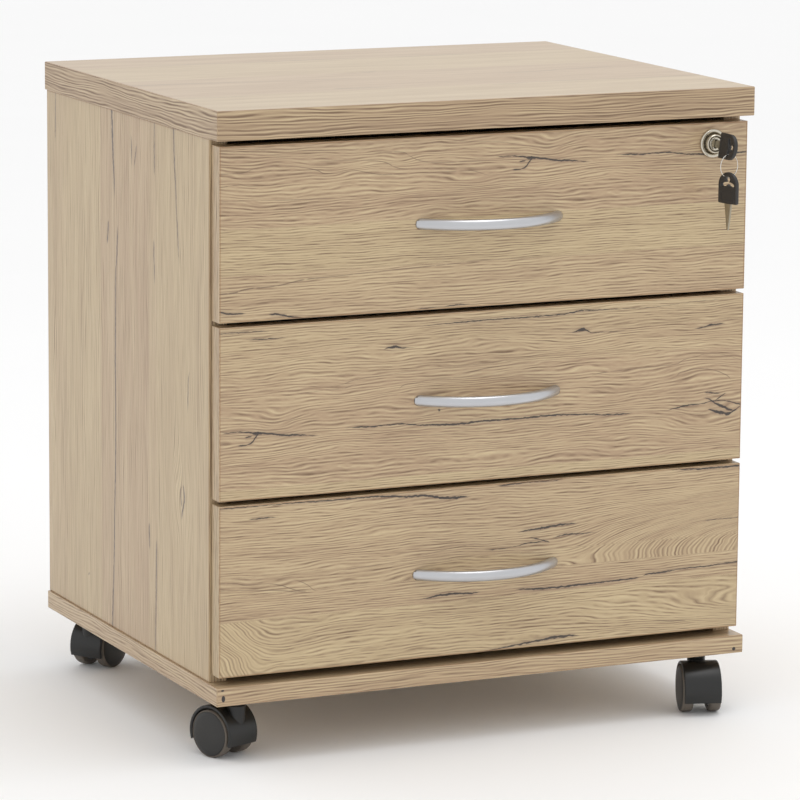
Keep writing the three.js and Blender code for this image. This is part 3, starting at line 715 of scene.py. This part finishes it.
def joined(name, *meshes):
    """Several meshes as one."""
    together = bmesh.new()
    for mesh in meshes:
        together.from_mesh(mesh)
    result = bpy.data.meshes.new(name)
    together.to_mesh(result)
    together.free()
    return smoothed(result)


def basis(x, y, z, origin):
    """The matrix that takes local x, y and z to these directions, and the local origin to `origin`."""
    turn = Matrix((x, y, z)).transposed().to_4x4()
    return Matrix.Translation(origin) @ turn


X, Y, Z = Vector((1, 0, 0)), Vector((0, 1, 0)), Vector((0, 0, 1))


def middle(node):
    low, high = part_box(node)
    return (low + high) / 2


# ---------------------------------------------------------------- CAD nodes that stay
def soften(node, width):
    """Breaks a CAD board's sharp edges, as edge bands are, without touching its mesh."""
    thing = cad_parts[node]
    thing.modifiers.new("weld", "WELD").merge_threshold = 1e-5
    flat = thing.modifiers.new("flat", "DECIMATE")
    flat.decimate_type = "DISSOLVE"
    flat.angle_limit = math.radians(0.5)
    bevel = thing.modifiers.new("edges", "BEVEL")
    bevel.width = width
    bevel.segments = 3
    bevel.limit_method = "ANGLE"
    bevel.angle_limit = math.radians(40)
    thing.modifiers.new("shading", "WEIGHTED_NORMAL").keep_sharp = True


def paint(node, material):
    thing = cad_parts[node]
    thing.data.materials.clear()
    thing.data.materials.append(material)


def dress_boards():
    """Oak on every outside board; grain runs along X on the wide ones and down the uprights."""
    for node, decor in DECORS.items():
        upright = node.startswith("side") or node == "back_panel"
        grain = 2 if upright else 0
        normal = {"side": 0, "top_": 2, "bott": 2}.get(node[:4], 1)
        paint(node, oak("oak_" + node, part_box(node), grain, normal, decor))
        soften(node, 0.9 * MM if node in ("top_panel", "bottom_panel") else 0.6 * MM)


def dress_hardware():
    for n in (1, 2, 3):
        for part in ("bottom", "back"):
            paint(f"drawer_{n}_{part}", MATERIALS["board"])
            soften(f"drawer_{n}_{part}", 0.4 * MM)
        for side in ("left", "right"):
            paint(f"drawer_{n}_side_{side}", MATERIALS["drawer_steel"])
            soften(f"drawer_{n}_side_{side}", 0.3 * MM)
            paint(f"runner_{n}_{side}", MATERIALS["zinc"])
            soften(f"runner_{n}_{side}", 0.3 * MM)
    paint("lock_bar", MATERIALS["zinc"])
    soften("lock_bar", 0.3 * MM)
    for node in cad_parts:
        if node.endswith("_stem") or node.endswith("_axle"):
            paint(node, MATERIALS["zinc"])


# ---------------------------------------------------------------- handles
HANDLE_DEPTH = 7.5 * MM


def make_handle(n):
    """The bow: an oval bar bent to an arc, ending flat on the drawer face."""
    low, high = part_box(f"handle_{n}")
    foot = high.y
    half_height, depth = (high.z - low.z) / 2, HANDLE_DEPTH
    rise = foot - low.y - depth / 2
    half_span = (high.x - low.x) / 2 - 3.1 * MM
    radius = (half_span ** 2 + rise ** 2) / (2 * rise)
    centre = Vector((0, low.y + depth / 2 + radius, (low.z + high.z) / 2))
    reach = math.asin(half_span / radius) + 7 * MM / radius
    rings = []
    for i in range(73):
        angle = reach * (i / 36 - 1)
        out = Vector((math.sin(angle), -math.cos(angle), 0))
        ring = []
        for j in range(40):
            turn = 2 * math.pi * j / 40
            across = out * (radius + math.cos(turn) * depth / 2)
            ring.append(centre + across + Z * math.sin(turn) * half_height)
        rings.append(ring)
    mesh = loft(f"handle_{n}_bow", rings)
    shape = bmesh.new()
    shape.from_mesh(mesh)
    everything = shape.verts[:] + shape.edges[:] + shape.faces[:]
    bmesh.ops.bisect_plane(shape, geom=everything, plane_co=(0, foot, 0), plane_no=(0, 1, 0), clear_outer=True)
    bmesh.ops.holes_fill(shape, edges=[e for e in shape.edges if e.is_boundary])
    bmesh.ops.recalc_face_normals(shape, faces=shape.faces)
    shape.to_mesh(mesh)
    shape.free()
    make_piece(f"handle_{n}_bow", mesh, "satin_metal", f"drawer_{n}", [f"handle_{n}"])


def make_handle_screws(n):
    """Two pan-head screws inside the drawer front, one behind each foot of the handle."""
    low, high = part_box(f"handle_{n}")
    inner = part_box(f"drawer_{n}_front")[1].y
    z = (low.z + high.z) / 2
    profile = [(0, -0.2), (4.1, -0.2), (4.2, 0.9), (3.4, 1.9), (1.9, 2.4), (1.2, 2.45), (1.2, 1.2), (0, 1.2)]
    screws = []
    for x in (low.x + 5 * MM, high.x - 5 * MM):
        place = basis(Z, X, Y, Vector((x, inner, z)))
        screws.append(turned("screw", profile, place, 32))
    name = f"drawer_{n}_handle_screws"
    make_piece(name, joined(name, *screws), "zinc", f"drawer_{n}")


# ---------------------------------------------------------------- lock and keys
def make_lock():
    """A stepped rosette with two grooves round the barrel, darkened by thin rings of painted shade, the nut
    behind it, and the plug.
    """
    low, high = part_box("lock_housing")
    axis_x, axis_z = (low.x + high.x) / 2, (low.z + high.z) / 2
    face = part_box("drawer_1_front")[0].y
    rosette = (high.x - low.x) / 2 / MM
    front = basis(Z, X, -Y, Vector((axis_x, face, axis_z)))  # z runs out of the drawer face
    profile = [(6.5, -22), (9.2, -22), (9.2, 0.35), (rosette - 0.5, 0.35), (rosette, 0.8), (rosette, 1.5),
               (rosette - 0.4, 2.2), (rosette - 1.2, 2.6), (rosette - 2.2, 2.55), (rosette - 2.9, 2.1),
               (rosette - 3.3, 1.4), (8.7, 1.2), (8.35, 1.6), (8.3, 5.4), (8.0, 6.2), (7.4, 6.6), (7.0, 6.45),
               (6.8, 6.0), (6.75, 5.2),
               (6.5, 5.0)]
    housing = turned("lock_rosette", profile, front, 96)
    make_piece("lock_rosette", housing, "nickel", "drawer_1", ["lock_housing"])
    # Thin dark rings laid in the two grooves round the barrel: painted shade in the recesses.
    grooves = joined(
        "lock_groove_shade_rings",
        turned("groove", [(8.35, 1.15), (8.35, 1.5), (9.35, 2.0), (9.35, 1.6)], front, 72),
        turned("groove", [(6.2, 5.25), (6.2, 5.6), (6.72, 5.75), (6.72, 5.4)], front, 72))
    make_piece("lock_groove_shade_rings", grooves, "nickel_groove_shade", "drawer_1")
    thread = turned("lock_nut", [(9.45, -18.5), (12, -18.5), (12, -16.4), (9.45, -16.4)], front, 6)
    make_piece("lock_nut", thread, "zinc", "drawer_1")
    dress_lock_plug(front)


def dress_lock_plug(front):
    """The CAD plug keeps its crank; a raised nickel ring sits on its face."""
    paint("lock_plug", MATERIALS["nickel"])
    ring = turned("plug_ring", [(3.9, 6.15), (4.1, 6.5), (4.7, 6.6), (5.2, 6.4), (5.3, 6.15)], front, 64)
    make_piece("lock_plug_ring", ring, "nickel", "lock_plug")


def key_outline(width, length):
    """A bow with a square shoulder at y = 0 and a round end at y = length, its corners just broken."""
    half = width / 2
    points = [(-half, 0.9), (-half + 0.9, 0), (half - 0.9, 0), (half, 0.9)]
    for i in range(33):
        angle = math.pi * i / 32
        points.append((half * math.cos(angle), length - half + half * math.sin(angle)))
    return points


def key_hole(centre):
    """The three-lobed hole, one lobe towards the round end."""
    points = []
    for i in range(48):
        angle = 2 * math.pi * i / 48
        radius = 3.9 + 2.4 * math.cos(3 * (angle - math.pi / 2))
        points.append((1.36 * radius * math.cos(angle), centre + 0.85 * radius * math.sin(angle)))
    return points


KEY_WIDTH, KEY_LENGTH, KEY_THICK, KEY_HOLE_FROM_END = 22, 27, 3.6, 9
BLADE_THICK = 1.8


def blade_outline(length):
    """A blade from y = 0 down to its tip: a long taper, straight on one edge and bitten on the other."""
    half, tip = 3.8, 0.9
    points = [(half, 0), (half, -2.2), (tip, 0.8 - length), (0, -length), (-tip, 1.2 - length)]
    bites = 6
    for i in range(1, 2 * bites):
        along = length - 1.2 - (length - 3.6) * i / (2 * bites)
        taper = half + (tip - half) * along / length
        points.append((-taper + (0.3 if i % 2 else -0.2), -along))
    points += [(-half, -2.2), (-half, 0)]
    return points


def make_keys():
    """The key in the lock stands on edge, pointing forwards; the spare hangs from the ring."""
    outline = key_outline(KEY_WIDTH, KEY_LENGTH)
    hole = key_hole(KEY_LENGTH - KEY_HOLE_FROM_END)
    tilt, spare_turn = math.radians(7), math.radians(16)
    low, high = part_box("key_bow")
    up = Vector((math.sin(tilt), 0, math.cos(tilt)))
    shoulder = Vector(((low.x + high.x) / 2, high.y, (low.z + high.z) / 2))
    places = {"key_bow": ("key", basis(up, -Y, up.cross(-Y), shoulder))}
    low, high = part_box("spare_key_bow")
    across = Vector((math.sin(spare_turn), -math.cos(spare_turn), 0))
    foot = Vector(((low.x + high.x) / 2, (low.y + high.y) / 2, low.z))
    places["spare_key_bow"] = ("spare_key", basis(across, Z, across.cross(Z), foot))
    for node, (body, place) in places.items():
        mesh = plate(f"{node}_moulded", [outline, hole[::-1]], KEY_THICK, 0.9, place)
        make_piece(f"{node}_moulded", mesh, "key_plastic", body, [node])
        blade_node = f"{body}_blade"
        low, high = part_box(blade_node)
        blade_length = max(high.y - low.y, high.z - low.z) / MM
        mesh = plate(f"{blade_node}_cut", [blade_outline(blade_length)], BLADE_THICK, 0.25, place)
        make_piece(f"{blade_node}_cut", mesh, "key_nickel", body, [blade_node])
        for side in (-1, 1):
            panel = [(-7.6, 2.4), (7.6, 2.4), (7.6, 11.2), (-7.6, 11.2)]
            inner = [(x * 0.92, 6.8 + (y - 6.8) * 0.87) for x, y in panel]
            raised = place @ Matrix.Translation(Vector((0, 0, side * (KEY_THICK / 2 - 0.05) * MM)))
            mesh = plate(f"{node}_rib", [rounded(panel, 2.4), rounded(inner, 2.0)[::-1]], 0.42, 0.15, raised)
            word = "front" if side > 0 else "back"
            make_piece(f"{node}_rib_{word}", mesh, "key_plastic", body)


def make_key_ring():
    """A split ring: two turns of flat-ended wire, lying in the CAD ring's place."""
    low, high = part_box("key_ring")
    centre = (low + high) / 2
    turn = math.radians(14)
    radius, wire, turns, steps = 9.9 * MM, 0.26 * MM, 1.9, 150
    side = Vector((math.cos(turn), math.sin(turn), 0))
    axis = side.cross(Z)
    rings = []
    for i in range(steps + 1):
        angle = 2 * math.pi * turns * i / steps + math.radians(35)
        out = side * math.cos(angle) + Z * math.sin(angle)
        shift = axis * (i / steps - 0.5) * 0.5 * MM
        point = centre + out * radius + shift
        around = (2 * math.pi * k / 10 for k in range(10))
        rings.append([point + (out * math.cos(a) + axis * math.sin(a)) * wire for a in around])
    mesh = loft("key_ring_split", rings)
    make_piece("key_ring_split", mesh, "ring_steel", "key_ring", ["key_ring"])


# ---------------------------------------------------------------- drawer hardware
ROLLER = [(1.0, -2.6), (4.0, -2.6), (4.9, -2.2), (5.0, -1.6), (5.0, 1.6), (4.9, 2.2), (4.0, 2.6), (3.2, 2.2),
          (2.2, 2.2), (1.0, 2.6)]
RIVET = [(0, 0), (2.4, 0), (2.3, 0.7), (1.4, 1.1), (0, 1.2)]
# Millimetres out from the cabinet's middle: the rollers, the channels' inner face, the drawers' sides.
ROLLER_X, CHANNEL_X, DRAWER_SIDE_X = 223.6, 230.5, 217.5


def make_rollers(n):
    """On each side one roller in the channel carries the drawer's rail, and one on the rail runs in it."""
    for word, side in (("left", -1), ("right", 1)):
        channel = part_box(f"runner_{n}_{word}")
        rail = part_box(f"drawer_{n}_side_{word}")
        out = X * side
        middle_x = side * ROLLER_X * MM
        front = Vector((middle_x, channel[0].y + 14 * MM, channel[0].z + 8.8 * MM))
        back = Vector((middle_x, rail[1].y - 14 * MM, channel[0].z + 7.2 * MM))
        for name, body, centre in (("front", "cabinet", front), ("rear", f"drawer_{n}", back)):
            place = basis(Y, out.cross(Y), out, centre)
            mesh = turned("roller", ROLLER, place, 40)
            make_piece(f"runner_{n}_{word}_{name}_roller", mesh, "roller", body)
            towards = 1 if body == "cabinet" else -1
            far = 6.6 if body == "cabinet" else 4.6
            pin = [(0, -3.0 * towards), (0.95, -3.0 * towards), (0.95, far * towards), (0, far * towards)]
            axle = turned("roller_pin", pin, place, 20)
            make_piece(f"runner_{n}_{word}_{name}_pin", axle, "zinc", body)


def make_side_screws(n):
    """Three screws through each channel into the cabinet's side, and two rivets in each drawer side."""
    for word, side in (("left", -1), ("right", 1)):
        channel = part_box(f"runner_{n}_{word}")
        wall = side * CHANNEL_X * MM
        heads = []
        for share in (0.16, 0.5, 0.86):
            y = channel[0].y + (channel[1].y - channel[0].y) * share
            place = basis(Y, (-X * side).cross(Y), -X * side, Vector((wall, y, channel[0].z + 18 * MM)))
            heads.append(turned("head", RIVET, place, 24))
        name = f"runner_{n}_{word}_screws"
        make_piece(name, joined(name, *heads), "zinc", "cabinet")
        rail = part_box(f"drawer_{n}_side_{word}")
        heads = []
        for height in (36 * MM, 76 * MM):
            centre = Vector((side * DRAWER_SIDE_X * MM, rail[0].y + 9 * MM, rail[0].z + height))
            place = basis(Y, (-X * side).cross(Y), -X * side, centre)
            heads.append(turned("head", RIVET, place, 24))
        name = f"drawer_{n}_side_{word}_rivets"
        make_piece(name, joined(name, *heads), "zinc", f"drawer_{n}")


# ---------------------------------------------------------------- castors
CASTORS = ("front_left", "front_right", "back_left", "back_right")
HOOD_RADIUS, HOOD_WALL, HOOD_HALF, LIP = 24.5, 3, 16.5, math.radians(20)
WEB_HALF, BOSS_BORE = 3.9, 4.35
# Profiles of a wheel: (in from the tread, out along the axle), and the disc's hub as (radius, out).
TYRE = [(-4.4, 7.3), (-1.4, 7.3), (-0.5, 7.8), (-0.05, 8.8), (0, 10), (0, 15), (-0.2, 16.2), (-0.7, 17),
        (-1.1, 17.2), (-1.35, 17.0), (-1.6, 16.5), (-4.4, 16.5)]
RIM = [(-4.5, 8.2), (-4.4, 16.2), (-1.75, 16.4), (-1.65, 16.9), (-2.0, 17.25), (-5, 17.75), (-9, 18.1),
       (-14, 18.28)]
HUB = [(2.35, 4.6), (5.8, 4.6), (6.0, 8.4), (7.2, 9.4), (13.6, 9.4), (14.6, 8.4)]
DOME = [(0, 18.3), (0, 14.6), (2.35, 14.6)]


def castor_place(name):
    """The castor's own axes: x along its axle, y from the stem back to the axle, z up, from the floor."""
    stem = middle(f"castor_{name}_stem")
    axle = middle(f"castor_{name}_axle")
    back = Vector((axle.x - stem.x, axle.y - stem.y, 0)).normalized()
    return basis(back.cross(Z), back, Z, Vector((stem.x, stem.y, 0))), (axle - stem).to_2d().length / MM


def swept(name, section, axle, start, end, steps, place):
    """A section of (x, radius) swept round the axle at (y, z) from angle start to end."""
    rings = []
    for i in range(steps + 1):
        angle = start + (end - start) * i / steps
        y, z = math.cos(angle), math.sin(angle)
        rings.append([place @ (Vector((x, axle[0] + r * y, axle[1] + r * z)) * MM) for x, r in section])
    return loft(name, rings)


def make_castor(name):
    place, trail = castor_place(name)
    body = f"castor_{name}"
    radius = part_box(f"{body}_wheel_left")[1].z / 2 / MM
    axle = (trail, radius)
    inner = HOOD_RADIUS - HOOD_WALL
    corners = [(-HOOD_HALF, inner), (-HOOD_HALF, HOOD_RADIUS), (HOOD_HALF, HOOD_RADIUS), (HOOD_HALF, inner)]
    section = rounded(corners, 1.3)
    hood = swept("hood", section, axle, -LIP, math.pi + LIP, 72, place)
    corners = [(-WEB_HALF, 2.4), (-WEB_HALF, inner + 1), (WEB_HALF, inner + 1), (WEB_HALF, 2.4)]
    web_section = rounded(corners, 0.6)
    web = swept("web", web_section, axle, -LIP * 0.98, math.pi + LIP * 0.98, 48, place)
    boss_profile = [(BOSS_BORE, 27), (7.4, 27), (7.7, 36), (8.0, 44), (8.0, 45.4), (7.5, 46), (BOSS_BORE, 46)]
    boss = turned("boss", boss_profile, place, 56)
    whole = joined(f"{body}_hood", hood, web, boss)
    make_piece(f"{body}_hood", whole, "castor_plastic", body, [f"{body}_housing"])

    collar = [(4.1, 47), (6.6, 47), (7.6, 51.8), (7.6, 52.9), (4.1, 52.9)]
    mesh = turned("collar", collar, place, 48)
    make_piece(f"{body}_collar", mesh, "castor_plastic", "cabinet")

    for word, side in (("left", -1), ("right", 1)):
        wheel_body = f"{body}_wheel_{word}"
        at_axle = Matrix.Translation(Vector((0, *axle)) * MM)
        turn = place @ at_axle @ basis(Y, X.cross(Y) * side, X * side, Vector())
        mesh = turned("tyre", [(radius + inward, x) for inward, x in TYRE], turn, 96)
        make_piece(f"{wheel_body}_tyre", mesh, "tread", wheel_body, [wheel_body])
        disc = HUB + [(radius + inward, x) for inward, x in RIM] + DOME
        mesh = turned("disc", disc, turn, 96)
        make_piece(f"{wheel_body}_disc", mesh, "castor_disc", wheel_body)


# ---------------------------------------------------------------- stage
def add_light(name, place, target, size, power):
    light = bpy.data.lights.new(name, "AREA")
    light.shape = "RECTANGLE"
    light.size, light.size_y = size
    light.energy = power
    holder = bpy.data.objects.new(name, light)
    holder.location = place
    holder.rotation_euler = (Vector(target) - Vector(place)).to_track_quat("-Z", "Y").to_euler()
    bpy.context.scene.collection.objects.link(holder)


def add_stage():
    """A pale floor without a horizon, a white room and one soft box overhead."""
    world = bpy.data.worlds.new("studio")
    world.use_nodes = True
    world.node_tree.nodes["Background"].inputs["Color"].default_value = (1, 1, 1, 1)
    world.node_tree.nodes["Background"].inputs["Strength"].default_value = 0.98
    bpy.context.scene.world = world

    half = 30.0
    corners = [(-half, -half, 0), (half, -half, 0), (half, half, 0), (-half, half, 0)]
    mesh = mesh_from("floor", corners, [(0, 1, 2, 3)])
    floor = bpy.data.objects.new("floor", mesh)
    bpy.context.scene.collection.objects.link(floor)
    g = Graph("pale_floor")
    g.shine(Base_Color=g.colour(g.speckle(3), tone(250, 250, 250), tone(252, 252, 252)), Roughness=0.8)
    mesh.materials.append(g.material)

    add_light("overhead", (0.4, -0.5, 2.3), (0, 0, 0.3), (1.3, 0.8), 8)
    bpy.context.scene.view_settings.view_transform = "Standard"
    bpy.context.scene.view_settings.look = "None"


# The camera stands about 3.9 m away, to the left and above, with a long lens.
CAMERA_PLACE = Vector((-1.66166, -3.56976, 0.99216))
CAMERA_FORWARD = (0.4224, 0.9064)
CAMERA_PITCH, CAMERA_ROLL = 0.18277, 0.00826
CAMERA_LENS = 203.98


def add_camera():
    data = bpy.data.cameras.new("camera")
    data.lens = CAMERA_LENS
    data.sensor_width = 36
    camera = bpy.data.objects.new("camera", data)
    bpy.context.scene.collection.objects.link(camera)
    level = Vector((*CAMERA_FORWARD, 0)).normalized()
    right = level.cross(Z)
    forward = level * math.cos(CAMERA_PITCH) - Z * math.sin(CAMERA_PITCH)
    down = -Z * math.cos(CAMERA_PITCH) - level * math.sin(CAMERA_PITCH)
    rolled_right = right * math.cos(CAMERA_ROLL) - down * math.sin(CAMERA_ROLL)
    rolled_down = right * math.sin(CAMERA_ROLL) + down * math.cos(CAMERA_ROLL)
    camera.matrix_world = basis(rolled_right, -rolled_down, -forward, CAMERA_PLACE)
    bpy.context.scene.camera = camera


add_camera()
add_stage()
dress_boards()
dress_hardware()
for drawer in (1, 2, 3):
    make_handle(drawer)
    make_handle_screws(drawer)
    make_rollers(drawer)
    make_side_screws(drawer)
make_lock()
make_keys()
make_key_ring()
for castor in CASTORS:
    make_castor(castor)
